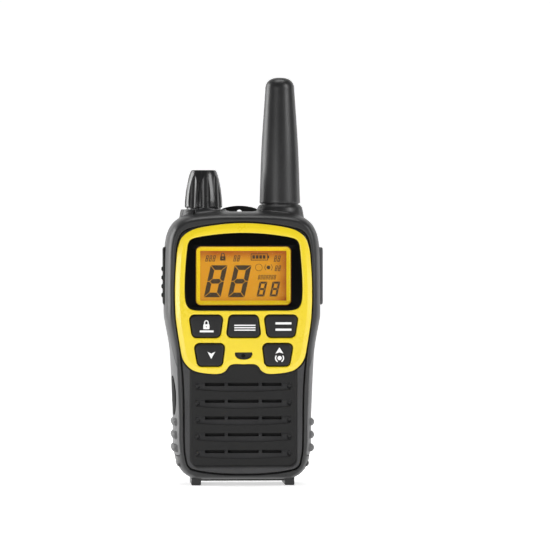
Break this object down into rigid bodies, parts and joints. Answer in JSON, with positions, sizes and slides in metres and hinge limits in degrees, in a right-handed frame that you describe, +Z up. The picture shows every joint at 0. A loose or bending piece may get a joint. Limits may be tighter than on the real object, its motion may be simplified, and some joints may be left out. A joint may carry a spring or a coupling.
{
  "type": "walkie talkie",
  "caption": "Handheld two-way radio with a yellow face plate, amber display, keypad, louvred speaker panel, volume knob, stubby antenna, side talk key and sprung belt clip.",
  "frame": {"origin": "centre of the bounding box, on the plane under the two feet", "axes": "+Z up to the antenna's tip; the front with the display faces -Y; +X is the viewer's right, where the antenna and the jack cover are"},
  "size_m": [0.0608, 0.0368, 0.1538],
  "materials": {
    "casing": "satin moulded plastic",
    "panel": "fine-grained moulded plastic",
    "yellow_plate": "glossy yellow paint on plastic",
    "gloss_black": "gloss black",
    "clear_window": "clear plastic window",
    "gold_bevel": "gold-coloured moulded edge",
    "display": "backlit amber display",
    "light_guide": "milky light guide",
    "key_rubber": "smooth matt rubber",
    "soft_rubber": "soft matt rubber",
    "side_rubber": "satin rubber",
    "sheath_rubber": "satin rubber",
    "knob_plastic": "semi-gloss moulded plastic",
    "clip_plastic": "satin moulded plastic",
    "dark_plastic": "moulded plastic",
    "circuit_board": "green resist",
    "bright_metal": "plated steel",
    "paper_black": "black paper and cloth",
    "cell_jacket": "printed cell jacket without lettering"
  },
  "bodies": {
    "case": {"antenna_core": "bright_metal", "antenna_sheath": "sheath_rubber", "battery_cell_1": "cell_jacket", "battery_cell_2": "cell_jacket", "battery_cell_3": "cell_jacket", "case_screw_1": "bright_metal", "case_screw_2": "bright_metal", "case_screw_3": "bright_metal", "case_screw_4": "bright_metal", "charge_socket": "dark_plastic", "clip_bracket": "clip_plastic", "clip_pin": "bright_metal", "contact_plate_lower": "bright_metal", "contact_plate_upper": "bright_metal", "display_bevel": "gold_bevel", "display_glass": "display", "display_light_guide": "light_guide", "face_bezel": "yellow_plate", "front_case": "casing", "front_panel": "panel", "jack_socket_lower": "dark_plastic", "jack_socket_upper": "dark_plastic", "keypad_mat": "soft_rubber", "main_board": "circuit_board", "microphone": "bright_metal", "rear_case": "casing", "shield_can": "bright_metal", "side_grip_left": "side_rubber", "side_grip_right": "side_rubber", "speaker_basket": "bright_metal", "speaker_cloth": "paper_black", "speaker_cone": "paper_black", "talk_switch": "dark_plastic", "volume_control": "bright_metal", "window_pane": "clear_window", "window_surround": "gloss_black"},
    "knob": {"volume_knob": "knob_plastic", "volume_shaft": "bright_metal"},
    "talk": {"talk_key": "soft_rubber"},
    "jack_lid": {"jack_cover": "side_rubber"},
    "charge_lid": {"charge_cover": "side_rubber"},
    "door": {"battery_door": "casing"},
    "clip": {"belt_clip": "clip_plastic", "clip_spring": "bright_metal"},
    "button_top_left": {"key_top_left": "key_rubber"},
    "button_top_middle": {"key_top_middle": "key_rubber"},
    "button_top_right": {"key_top_right": "key_rubber"},
    "button_down": {"key_down": "key_rubber"},
    "button_up": {"key_up": "key_rubber"}
  },
  "joints": [
    {"name": "knob_turn", "type": "hinge", "parent": "case", "child": "knob", "pos_m": [-0.01445, -0.00255, 0.1045], "axis": [0, 0, -1], "range_deg": [-135, 135]},
    {"name": "talk_press", "type": "slide", "parent": "case", "child": "talk", "axis": [1, 0, 0], "range_m": [0, 0.0009], "stiffness_N_per_m": 1800, "springref_m": -0.0003},
    {"name": "key_top_left_press", "type": "slide", "parent": "case", "child": "button_top_left", "axis": [0, 1, 0], "range_m": [0, 0.0006], "stiffness_N_per_m": 1500, "springref_m": -0.0002},
    {"name": "key_top_middle_press", "type": "slide", "parent": "case", "child": "button_top_middle", "axis": [0, 1, 0], "range_m": [0, 0.0006], "stiffness_N_per_m": 1500, "springref_m": -0.0002},
    {"name": "key_top_right_press", "type": "slide", "parent": "case", "child": "button_top_right", "axis": [0, 1, 0], "range_m": [0, 0.0006], "stiffness_N_per_m": 1500, "springref_m": -0.0002},
    {"name": "key_down_press", "type": "slide", "parent": "case", "child": "button_down", "axis": [0, 1, 0], "range_m": [0, 0.0006], "stiffness_N_per_m": 1500, "springref_m": -0.0002},
    {"name": "key_up_press", "type": "slide", "parent": "case", "child": "button_up", "axis": [0, 1, 0], "range_m": [0, 0.0006], "stiffness_N_per_m": 1500, "springref_m": -0.0002},
    {"name": "jack_lid_swing", "type": "hinge", "parent": "case", "child": "jack_lid", "pos_m": [0.0293, 0.00105, 0.07875], "axis": [0, 0, 1], "range_deg": [0, 90]},
    {"name": "charge_lid_swing", "type": "hinge", "parent": "case", "child": "charge_lid", "pos_m": [-0.02577, -0.00777, 0.0339], "axis": [0, 0, -1], "range_deg": [0, 85]},
    {"name": "door_slide", "type": "slide", "parent": "case", "child": "door", "axis": [0, 0, -1], "range_m": [0, 0.055]},
    {"name": "clip_swing", "type": "hinge", "parent": "case", "child": "clip", "pos_m": [0, 0.01495, 0.086], "axis": [1, 0, 0], "range_deg": [0, 12], "stiffness_Nm_per_rad": 1.2, "springref_deg": -8.59}
  ]
}
